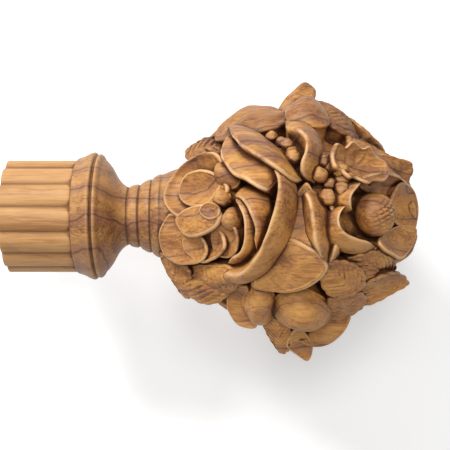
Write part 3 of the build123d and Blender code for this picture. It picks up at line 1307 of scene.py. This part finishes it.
class SeedFlower(CarvedGroup):
    """The open flower towards the tip."""

    carvings = {
        "seed_head": Bud((42, 0.3, 46.5), 18, 18, 8.5, creases=0, crease=0.0, hatch=1.0, point=0.0),
        "seed_flower_left_petal": Wrap(
            lip=[(32, 16, 50), (25, 12, 53), (21, 8, 54), (21, 4, 53), (24, 1, 50)],
            foot=[(26, 18, 46), (19, 14, 46), (16, 9, 46), (16, 4, 46), (20, 0, 45)],
            bulge=0.8, inside=3.0,
        ),
        "seed_flower_top_petal": Outlined(
            rim=[(30, 15, 50), (38, 18, 52), (50, 18, 53), (62, 15, 53.5), (72, 10, 53), (68, 8, 48),
                 (55, 11, 45), (40, 12, 45)],
            dish=1.5,
        ),
        "seed_flower_low_petal": Wrap(
            lip=[(22, 5, 50), (17, 2, 53), (15, -2, 54.5), (16, -6, 55.5), (20, -9, 55.5), (27, -11, 55),
                 (36, -12, 52)],
            foot=[(18, 5, 46), (13, 1, 46), (11, -5, 47), (13, -13, 48), (22, -18, 48), (34, -19, 48),
                  (47, -17, 47)],
            bulge=1.2, inside=3.5, start=0.1,
        ),
        "seed_flower_right_petal": Outlined(
            rim=[(58, 14, 53), (69, 12, 54.5), (75, 6, 55.5), (76, -1, 55), (71, -7, 54), (66, -5, 49),
                 (62, 1, 46), (60, 8, 47)],
            dish=2.0,
        ),
        "seed_flower_under_petal": Outlined(
            rim=[(41, -13, 52), (49, -17, 54.5), (58, -18, 55), (70, -13, 55), (73, -6, 55), (67, -5, 50),
                 (57, -8, 47), (47, -10, 48)],
            dish=2.4,
        ),
        "seed_flower_base_petal": Outlined(
            rim=[(42, -16, 49), (54, -22, 49), (66, -22, 52), (74, -16, 55), (77, -8, 55), (70, -9, 48),
                 (55, -13, 47)],
            dish=-1.5,
        ),
    }


class TopGrowth(CarvedGroup):
    """The buds and leaves along the top."""

    carvings = {
        "top_bud": Outlined(
            rim=[(-14, 61, 46.5), (-7, 71, 49), (14, 76, 51.5), (33, 74, 53), (40, 66, 50), (29, 54, 48),
                 (14, 50, 48), (0, 52, 47), (-9, 55, 46)],
            dish=-6.0, bowl=2.4, lip=0.0, foot=0.95, wear=0.0, creases=2, crease=0.5,
        ),
        "bud_sheath": Wrap(
            lip=[(-9, 44, 50), (-2, 41, 53), (3, 35, 55), (3, 28, 56), (1, 22, 55), (1, 16, 50)],
            foot=[(-9, 54, 48), (6, 53, 48), (14, 43, 48), (14, 33, 48), (11, 24, 48), (8, 16, 46)],
            bulge=1.1, inside=3.0,
        ),
        "top_leaf": Outlined(
            rim=[(-38, 77, 46.5), (-24, 81, 51.5), (8, 84, 55), (53, 83, 59), (62, 79, 57), (45, 77, 53),
                 (13, 74, 50), (-14, 68, 47)],
            dish=-1.5, fold=-0.6, thick=2.6, wear=0.2, pale=-0.15,
        ),
        "top_left_leaf": Outlined(
            rim=[(-80, 30, 55), (-79, 37, 53.5), (-76, 42, 51), (-66, 42, 47), (-55, 35, 47), (-56, 27, 48),
                 (-68, 26, 52)],
            dish=-1.5, veins=0.7, grain=60, vein_rows=6, wear=0.2, pale=-0.3, teeth=14,
        ),
        "top_rear_petal": Outlined(
            rim=[(-66, 42, 49), (-73, 49, 51), (-75, 57, 51.5), (-74, 66, 52), (-62, 74, 50), (-38, 76, 48),
                 (-10, 66, 47), (-10, 56, 47), (-24, 47, 48), (-47, 42, 49)],
            dish=-4.0, flutes=0.5, grain=20, wear=0.2, pale=-0.3,
        ),
        "top_right_leaf": Outlined(
            rim=[(50, 77, 52), (68, 71, 52), (76, 64, 51), (79, 56, 49), (74, 48, 46), (48, 47, 46),
                 (31, 55, 47), (36, 68, 49)],
            dish=-3.0, veins=0.5, grain=-40, wear=0.2, pale=-0.35, teeth=17, tooth=0.035,
        ),
    }


class TipLeaves(CarvedGroup):
    """The leaves towards the tip."""

    leafy = dict(dish=-1.6, veins=0.6, wear=0.25, teeth=15)
    carvings = {
        "scalloped_leaf": Outlined(
            rim=[(16, 27, 53), (19, 31, 54.5), (24, 30, 53), (28, 32, 54.5), (34, 30, 53), (38, 30, 54.5),
                 (41, 27, 53), (45, 23, 54.5), (45, 18, 54), (40, 15, 54), (36, 16, 52), (31, 14, 54),
                 (26, 17, 52), (22, 16, 54), (20, 20, 52), (16, 21, 53.5)],
            dish=3.4, bowl=1.5, lip=0.5, veins=0.5, grain=60, vein_rows=4, flutes=0.5, thick=2.4,
            wear=0.8,
        ),
        "long_leaf": Outlined(
            rim=[(66, 56, 45), (76, 48, 46), (80, 38, 48), (82, 30, 51.5), (84, 23, 58), (81, 16, 53),
                 (66, 18, 49), (50, 26, 48), (38, 37, 47), (44, 46, 46)],
            dish=-1.0, veins=0.8, grain=60, vein_rows=7, wear=0.25, pale=-0.25, teeth=19, tooth=0.035,
        ),
        "veined_leaf_upper": Outlined(
            rim=[(26, -22, 48), (34, -18, 50), (44, -17, 51), (58, -21, 52), (70, -26, 52), (70, -31, 51),
                 (56, -34, 50), (42, -32, 50), (33, -27, 49)],
            grain=-70, **leafy,
        ),
        "veined_leaf_lower": Outlined(
            rim=[(11, -27, 49), (16, -22, 50), (25, -22, 51), (35, -27, 51.5), (41, -34, 51), (38, -41, 50),
                 (27, -43, 50), (16, -38, 49)],
            grain=-60, **leafy,
        ),
        "curled_tip_leaf": Outlined(
            rim=[(38, -41, 49), (42, -33, 51), (52, -28, 53), (66, -27, 55), (77, -30, 59), (74, -37, 56),
                 (68, -46, 53), (52, -49, 50)],
            dish=1.5, veins=0.6, grain=-60, wear=0.3, teeth=15,
        ),
        "under_tip_leaf": Outlined(
            rim=[(23, -48, 48), (30, -42, 49), (42, -40, 50), (56, -44, 51), (64, -51, 51.5),
                 (62, -60, 51.5), (46, -63, 50), (30, -58, 48)],
            grain=-40, **leafy,
        ),
    }


class BottomGrowth(CarvedGroup):
    """The buds and leaves underneath."""

    leafy = dict(dish=-1.4, veins=0.55, wear=0.25, teeth=13)
    carvings = {
        "bottom_bud": Outlined(
            rim=[(-38, -44, 48), (-30, -38, 46), (-23, -38, 46), (-17, -46, 46), (-19, -56, 48),
                 (-29, -62, 51.5), (-40, -59, 53), (-42, -50, 50)],
            dish=-6.5, bowl=2.4, lip=0.0, foot=0.95, wear=0.0, creases=1, crease=0.4,
        ),
        "bottom_bloom": Outlined(
            rim=[(-18, -50, 47), (-11, -44, 46), (-3, -41, 46), (7, -42, 46), (18, -46, 47), (32, -54, 48),
                 (36, -62, 51), (20, -65, 53), (2, -65, 52.5), (-15, -61, 51)],
            dish=-8.5, bowl=2.4, lip=0.0, foot=0.95, wear=0.0, creases=2, crease=0.5,
        ),
        "bottom_right_leaf": Outlined(
            rim=[(-8, -79, 52), (14, -75, 56), (38, -75, 58.5), (53, -70, 58.5), (61, -62, 55),
                 (58, -56, 50), (40, -58, 47), (10, -68, 48)],
            dish=2.0, veins=0.3, grain=60, wear=0.4,
        ),
        "bottom_left_leaf": Outlined(
            rim=[(-36, -64, 51), (-38, -71, 54.5), (-36, -76, 58), (-25, -79, 61), (-9, -79, 59.5),
                 (-4, -73, 55), (-9, -65, 50), (-22, -60, 49)],
            fold=-0.6, **leafy,
        ),
        "bottom_tip_leaf": Outlined(
            rim=[(-11, -75, 57), (6, -80, 60.5), (38, -81, 64), (46, -79, 61), (30, -75, 56), (4, -69, 52)],
            dish=1.2, thick=2.4,
        ),
        "curled_left_leaf": Outlined(
            rim=[(-50, -42, 48), (-43, -39, 47), (-33, -38, 48), (-36, -48, 49), (-37, -58, 52),
                 (-44, -62, 54), (-54, -57, 55), (-56, -49, 52)],
            dish=2.0,
        ),
        "left_leaf": Outlined(
            rim=[(-78, -26, 54), (-66, -24, 51), (-50, -24, 49), (-36, -27, 48), (-34, -33, 48),
                 (-45, -40, 49), (-56, -43, 53), (-65, -41, 57), (-71, -36, 58.5), (-75, -30, 58)],
            dish=-3.0, bowl=2.4, veins=0.7, vein_rows=11, grain=-60, wear=0.15, teeth=17, tooth=0.035,
        ),
        "left_side_leaf": Outlined(
            rim=[(-80, -16, 61), (-74, -19, 57), (-68, -24, 54), (-69, -31, 55), (-74, -37, 59),
                 (-80, -34, 60), (-83, -26, 60.5)],
            grain=-30, **leafy,
        ),
    }


@dataclass
class MiddleLeaves:
    """The leaves between the front and the back."""

    shop: Workshop
    rosette: int = 5
    rosette_shift: float = 8.0

    def build(self) -> None:
        """Make the rosette at the tip and the leaves above and below."""
        head = self.shop.head
        leafy = dict(dish=-1.6, point=0.6, stem=0.4, veins=0.5, length=27, width=19, wear=0.25, teeth=16)
        groups = {"tip_rosette": [self.rosette_leaf(360 / self.rosette * i) for i in range(self.rosette)]}
        groups["tip_rosette"].append(Bud((90, 0, 50.5), 9, 9, 4.5, creases=3, point=0.0).block(head))
        for node, up in (("crown_leaves", 1), ("keel_leaves", -1)):
            leaves = [Leaf(seat=(side, 50 * up, 49), turn=90 + side * up, **leafy) for side in (-90, 90)]
            leaves.append(Leaf(seat=(180, 70 * up, 49), turn=90, **leafy))
            groups[node] = [leaf.block(head) for leaf in leaves]
        for node, blocks in groups.items():
            whole = Block()
            for block in blocks:
                whole.extend(block)
            whole = whole.carved(CARVE_DEPTH, CARVE_SIZE)
            self.shop.take(f"{node}_carving", whole, Finish.CARVED, FINIAL, [node])

    def rosette_leaf(self, turn: float) -> Block:
        """One leaf of the rosette at the tip, turned round its middle.

        Args:
            turn: degrees round the pole's axis.

        Returns:
            The leaf.
        """
        head = self.shop.head
        leaf = Leaf(
            seat=(90, 0, 50.5), length=17, width=14, lean=8, tilt=14,
            dish=-1.6, point=0.6, stem=0.3, veins=0.5,
        )
        middle = head.seat((90, 0, 0))
        spin = Matrix.Rotation(radians(-turn), 4, "Z") @ Matrix.Translation((0, self.rosette_shift, 0))
        return leaf.block(head).moved(middle @ spin @ middle.inverted())


@dataclass
class BackCarvings:
    """The same bouquet again on the far side."""

    shop: Workshop
    groups: dict[str, str] = field(default_factory=lambda: {
        "back_rose": """rose_outer_wrap rose_top_wrap rose_upper_wrap rose_middle_wrap rose_inner_wrap
            rose_heart_bud rose_heart_boss rose_heart_petal rose_petal_top rose_petal_upper rose_petal_lower
            rose_petal_low rose_petal_bottom rose_outer_petal_upper rose_outer_petal_lower skirt_ridge
            skirt_back_ridge skirt_shell skirt_hollow_petal""",
        "back_blooms": """seed_head seed_flower_left_petal seed_flower_top_petal seed_flower_low_petal
            seed_flower_under_petal seed_flower_base_petal bud_sheath top_bud bottom_bud bottom_bloom
            upper_berries side_berries""",
        "back_leaves": """scalloped_leaf veined_leaf_upper veined_leaf_lower left_leaf curled_left_leaf
            curled_tip_leaf under_tip_leaf""",
    })

    def build(self, front: dict[str, Block]) -> None:
        """Repeat the front's carvings behind.

        Args:
            front: the front's blocks by CAD node.
        """
        mirror = Matrix.Scale(-1, 4, Vector((0, 1, 0)))
        for node, sources in self.groups.items():
            whole = Block()
            for source in sources.split():
                whole.extend(front[source].moved(mirror))
            self.shop.take(f"{node}_carving", whole, Finish.CARVED, FINIAL, [node])


@dataclass
class Turnings:
    """The reeded pole, the turned neck and the head's ground."""

    shop: Workshop
    radius: float = 25.0
    reeds: int = 14
    reed_radius: float = 7.4
    reed_phase: float = 3.9
    reed_sides: int = 280
    reed_rows: int = 26
    bore: float = 4.0
    bore_depth: float = 12.0
    neck_sides: int = 160
    ring_cut: float = 38.95
    cuts: Sequence[float] = (52.25, 57.3, 62.7, 67.1)
    crests: Sequence[tuple[float, float]] = ((37.6, 0.5), (40.0, 0.7))
    axis: float = 0.01

    def build(self) -> None:
        """Make the pole, the neck and the ground."""
        self.shop.take("reeded_pole", self.pole(), Finish.POLE, POLE_BODY, ["pole"])
        self.shop.take("turned_neck_wood", self.neck(), Finish.NECK, FINIAL, ["turned_neck"])
        self.shop.take("head_ground", self.ground(), Finish.CARVED, FINIAL, ["head_core"])

    def reeded(self, angle: float) -> float:
        """The reeded outline's radius at an angle round the pole.

        Args:
            angle: the angle from the top.

        Returns:
            The radius.
        """
        pitch = 2 * pi / self.reeds
        off = (angle - radians(180 + self.reed_phase) + pitch / 2) % pitch - pitch / 2
        middle = self.radius - self.reed_radius
        return middle * cos(off) + sqrt(self.reed_radius**2 - (middle * sin(off)) ** 2)

    def valley_shade(self, angle: float) -> float:
        """How dark the painted shade in the cut between two reeds is, from 0 on a reed's crest."""
        depth = self.radius - self.reeded(angle)
        return 0.34 * ease(depth, 0.15, 1.1) + 0.3 * ease(depth, 1.2, 1.55)

    def pole(self) -> Block:
        """The reeded pole with eased ends and its two bores.

        Returns:
            The pole.
        """
        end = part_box("pole")[1][0] / MM
        insert = [Vector(corner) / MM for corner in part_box("threaded_insert")]
        block = Block()

        def plain(x: float, size: float) -> list[int]:
            """A round ring of the pole at x."""
            return self.round_ring(block, x, size, self.reed_sides)

        def reeded(x: float, share: float, worn: float) -> list[int]:
            """A reeded ring of the pole.

            Args:
                x: its place along the pole.
                share: its size, 1 for the full outline.
                worn: how worn its crests are.

            Returns:
                The ring's corners.
            """
            points = []
            for j in range(self.reed_sides):
                angle = 2 * pi * j / self.reed_sides
                r = self.reeded(angle) * share
                # Painted shade in the cuts between the reeds
                cut = self.valley_shade(angle)
                points.append((Vector((x, r * cos(angle), r * sin(angle))), worn * (1 - cut), cut))
            return block.ring(points)

        rows = [plain(x, size) for x, size in (
            (self.bore_depth, self.axis), (self.bore_depth, self.bore * 0.6), (self.bore_depth, self.bore),
            (0.15, self.bore), (0.0, self.bore + 0.15), (0.0, 12.0),
        )]
        rows += [reeded(0.0, 0.985, 0.3), reeded(0.1, 0.996, 0.5)]
        steps = self.reed_rows
        rows += [reeded(0.4 + (end - 0.6) * k / steps, 1.0, 0.25) for k in range(steps + 1)]
        rows.append(reeded(end, 0.992, 0.3))
        rows += [plain(end, 14.0), plain(end, insert[1].z), plain(insert[0].x, insert[1].z)]
        rows.append(plain(insert[0].x, self.axis))
        return self.closed(block, rows, self.bore_depth, insert[0].x)

    @staticmethod
    def round_ring(
        block: Block, x: float, size: float, sides: int, worn: float = 0.0, cut: float = 0.0,
    ) -> list[int]:
        """A round ring about the pole's axis.

        Args:
            block: the block that it belongs to.
            x: its place along the axis.
            size: its radius.
            sides: its corners.
            worn: how worn it is.
            cut: how much painted shade it has.

        Returns:
            The ring's corners.
        """
        angles = [2 * pi * j / sides for j in range(sides)]
        return block.ring((Vector((x, size * cos(a), size * sin(a))), worn, cut) for a in angles)

    @staticmethod
    def closed(block: Block, rows: Sequence[Sequence[int]], start: float, end: float) -> Block:
        """Join rings along the axis and close both ends.

        Args:
            block: the block that they belong to.
            rows: the rings in order.
            start: where the first ring is closed on the axis.
            end: where the last ring is closed on the axis.

        Returns:
            The solid.
        """
        for near, far in zip(rows, rows[1:]):
            block.bridge(near, far)
        block.cap(rows[0], Vector((start, 0, 0)), flip=True)
        block.cap(rows[-1], Vector((end, 0, 0)))
        return block.outward()

    def neck(self) -> Block:
        """The turned collar, neck and flare, with the bolt's bore and the washer's recess.

        Returns:
            The neck.
        """
        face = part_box("turned_neck")[0][0] / MM
        bolt_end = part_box("hanger_bolt")[1][0] / MM
        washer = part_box("collar_washer")[1]
        recess, floor = washer[1] / MM + 0.3, washer[0] / MM + 0.15
        profile = [(bolt_end, self.axis), (bolt_end, 4.0), (floor, 4.0), (floor, recess), (face, recess)]
        collar = [
            (0.0, 14.0), (0.0, 24.6), (0.15, 25.3), (0.6, 25.62), (1.6, 25.95), (2.6, 26.25), (3.5, 26.6),
            (4.4, 27.05), (5.2, 27.5), (6.0, 27.9), (6.8, 28.18), (7.4, 28.28),
        ]
        profile += [(face + x, r) for x, r in collar]
        profile += [
            (37.9, 28.15), (38.25, 27.7), (38.5, 27.05), (38.85, 26.85), (39.15, 26.95), (39.4, 27.25),
            (39.9, 27.5), (40.5, 27.35), (41.1, 26.8), (41.55, 26.0), (41.75, 25.35),
        ]
        profile += [
            (42.6, 24.6), (43.5, 23.6), (44.5, 22.3), (45.4, 20.9), (46.2, 19.4), (47.0, 17.9), (47.8, 16.6),
            (48.8, 15.3), (49.8, 14.3), (50.8, 13.5), (51.6, 13.05), (52.1, 12.85),
        ]
        profile += self.bead(52.4, 57.3, 12.9, 14.0)
        profile += self.bead(57.3, 62.7, 14.0, 16.5)
        profile += self.bead(62.7, 67.0, 16.5, 18.7)
        profile += [(67.4, 18.55), (69, 19.2), (72, 20.4), (78, 22.4), (85, 24.0), (91.5, 24.9), (92, 20)]
        profile.append((92, self.axis))
        block = Block()
        rows = []
        for x, r in profile:
            worn = sum(bump_at(x - place, width) for place, width in self.crests) / 2
            # Painted shade in the ring cut and in the V-cuts between the beads
            cut = 0.4 * bump_at(x - self.ring_cut, 0.4)
            cut += 0.6 * sum(bump_at(x - place, 0.45) for place in self.cuts)
            rows.append(self.round_ring(block, x, r, self.neck_sides, worn, cut))
        return self.closed(block, rows, profile[0][0], profile[-1][0])

    @staticmethod
    def bead(start: float, end: float, low: float, high: float, steps: int = 9) -> list[tuple[float, float]]:
        """A turned bead between two V-cuts, as points of the neck's outline.

        Args:
            start: where the bead begins along the axis.
            end: where it ends.
            low: the radius at its start.
            high: the radius at its end.
            steps: how many runs make its curve.

        Returns:
            The outline's points.
        """
        points = []
        for share in (k / steps for k in range(steps + 1)):
            x = start + (end - start) * (0.04 + 0.92 * share)
            points.append((x, low + (high - low) * share + 0.75 * sin(pi * share) ** 0.5 - 0.3))
        return points

    def ground(self, rings: int = 60, sides: int = 120) -> Block:
        """The ground between the carvings, darkened by painted shade: a ball with chiselled hollows.

        Args:
            rings: rows from the tip to the neck.
            sides: points round each row.

        Returns:
            The ball.
        """
        head = self.shop.head
        block = Block()
        rows = []
        for k in range(1, rings):
            fall = pi * k / rings
            points = []
            for j in range(sides):
                turn = 2 * pi * j / sides
                out = Vector((cos(fall), sin(fall) * cos(turn), sin(fall) * sin(turn)))
                cut = noise.noise(out * 7) * 1.6 + noise.noise(out * 16) * 0.7
                points.append((head.centre + out * (head.ground - 1.2 + cut), 0.0))
            rows.append(block.ring(points))
        pole = head.ground - 1.5
        return self.closed(block, rows, head.centre.x + pole, head.centre.x - pole)


@dataclass
class Hardware:
    """The metal parts and the washer, which keep their CAD shapes."""

    shop: Workshop

    def dress(self) -> None:
        """Give each carried-over part its material."""
        choices = (
            ("threaded_insert", Finish.BRASS),
            ("hanger_bolt", Finish.STEEL),
            ("collar_washer", Finish.WASHER),
        )
        for node, choice in choices:
            piece = frame["nodes"][node]
            piece.data.materials.clear()
            piece.data.materials.append(self.shop.finish(choice))
            LOG.info("%s: %s", node, choice.name)


@dataclass
class Studio:
    """The pale backdrop, the soft lights and the camera."""

    distance: float = 0.382
    lens: float = 68.6
    camera_x: float = 0.095
    camera_z: float = -0.004
    wall: float = 0.075
    floor: float = -0.16
    half_width: float = 0.9
    bend: float = 0.10
    bend_steps: int = 12
    sky_strength: float = 0.42

    def build(self) -> None:
        """Make the backdrop, the lights and the camera."""
        self.backdrop()
        self.light("key_light", (-0.34, -0.52, 0.58), 0.22, 5.2)
        self.light("fill_light", (0.05, -0.75, 0.20), 0.30, 2.3)
        self.light("top_light", (0.0, -0.15, 0.8), 0.7, 1.0)
        self.light("rear_light", (0.1, 0.9, 0.6), 0.8, 3.0)
        world = bpy.data.worlds.new("studio")
        world.use_nodes = True
        sky = world.node_tree.nodes["Background"].inputs
        sky["Color"].default_value = (1.0, 1.0, 1.0, 1.0)
        sky["Strength"].default_value = self.sky_strength
        bpy.context.scene.world = world
        bpy.context.scene.view_settings.view_transform = "Standard"
        camera_data = bpy.data.cameras.new("camera")
        camera_data.lens = self.lens
        camera_data.clip_start = 0.01
        camera = bpy.data.objects.new("camera", camera_data)
        camera.location = (self.camera_x, -self.distance, self.camera_z)
        camera.rotation_euler = (pi / 2, 0, 0)
        bpy.context.scene.collection.objects.link(camera)
        bpy.context.scene.camera = camera

    def light(self, name: str, place: Sequence[float], size: float, watts: float) -> None:
        """Add one soft square light that faces the head.

        Args:
            name: the light's name.
            place: where it hangs.
            size: its side, in metres.
            watts: its power.
        """
        data = bpy.data.lights.new(name, "AREA")
        data.size = size
        data.energy = watts
        lamp = bpy.data.objects.new(name, data)
        lamp.location = place
        aim = Vector((0.10, 0, 0)) - Vector(place)
        lamp.rotation_euler = aim.to_track_quat("-Z", "Y").to_euler()
        bpy.context.scene.collection.objects.link(lamp)

    def backdrop(self) -> None:
        """Make the floor that sweeps up into a wall, seen from its front only."""
        outline = [(-0.6, self.floor)]
        for k in range(self.bend_steps + 1):
            angle = pi / 2 * k / self.bend_steps
            y = self.wall - self.bend + self.bend * sin(angle)
            outline.append((y, self.floor + self.bend - self.bend * cos(angle)))
        outline.append((self.wall, 0.9))
        verts = [(x, y, z) for y, z in outline for x in (-self.half_width, self.half_width)]
        faces = [(k, k + 1, k + 3, k + 2) for k in range(0, len(verts) - 2, 2)]
        mesh = bpy.data.meshes.new("backdrop")
        mesh.from_pydata(verts, [], faces)
        mesh.shade_smooth()
        mesh.materials.append(self.paper())
        sweep = bpy.data.objects.new("backdrop", mesh)
        bpy.context.scene.collection.objects.link(sweep)
        sweep.visible_diffuse = False
        sweep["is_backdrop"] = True

    @staticmethod
    def paper() -> bpy.types.Material:
        """White paper that is clear from behind, so that rear views aren't blocked.

        Returns:
            The material.
        """
        graph = Graph("backdrop_paper")
        sockets = {
            "Base Color": (0.84, 0.84, 0.84, 1.0), "Emission Color": (1.0, 1.0, 1.0, 1.0),
            "Emission Strength": 0.30, "Roughness": 0.9,
        }
        for name, value in sockets.items():
            graph.set(graph.shader.inputs[name], value)
        behind = graph.node("ShaderNodeNewGeometry", {}, {}, "Backfacing")
        clear = graph.raw("ShaderNodeBsdfTransparent", {}, {})
        mixed = graph.raw("ShaderNodeMixShader", {}, {0: behind})
        links = graph.material.node_tree.links
        links.new(graph.shader.outputs[0], mixed.inputs[1])
        links.new(clear.outputs[0], mixed.inputs[2])
        links.new(mixed.outputs[0], graph.material.node_tree.nodes["Material Output"].inputs["Surface"])
        return graph.material


def main() -> None:
    """Build every sub-assembly in order."""
    logging.basicConfig(level=logging.INFO, format="%(name)s: %(message)s")
    noise.seed_set(CARVE_SEED)
    low, high = (Vector(corner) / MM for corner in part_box("head_core"))
    head = Head(centre=(low + high) / 2, ground=(high.z - low.z) / 2)
    shop = Workshop(head)
    Turnings(shop).build()
    Hardware(shop).dress()
    front: dict[str, Block] = {}
    groups = (
        RoseWraps, RoseBowl, RoseSkirt, BerryBunches, SeedFlower, TopGrowth, TipLeaves, BottomGrowth,
    )
    for group in groups:
        front.update(group(shop).build())
    MiddleLeaves(shop).build()
    BackCarvings(shop).build(front)
    shop.make_all()
    Studio().build()
    boxes = {"cad": WHOLE, "visual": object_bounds()}
    {key: [[float(v) for v in corner] for corner in box] for key, box in boxes.items()}


if __name__ == "__main__":
    main()
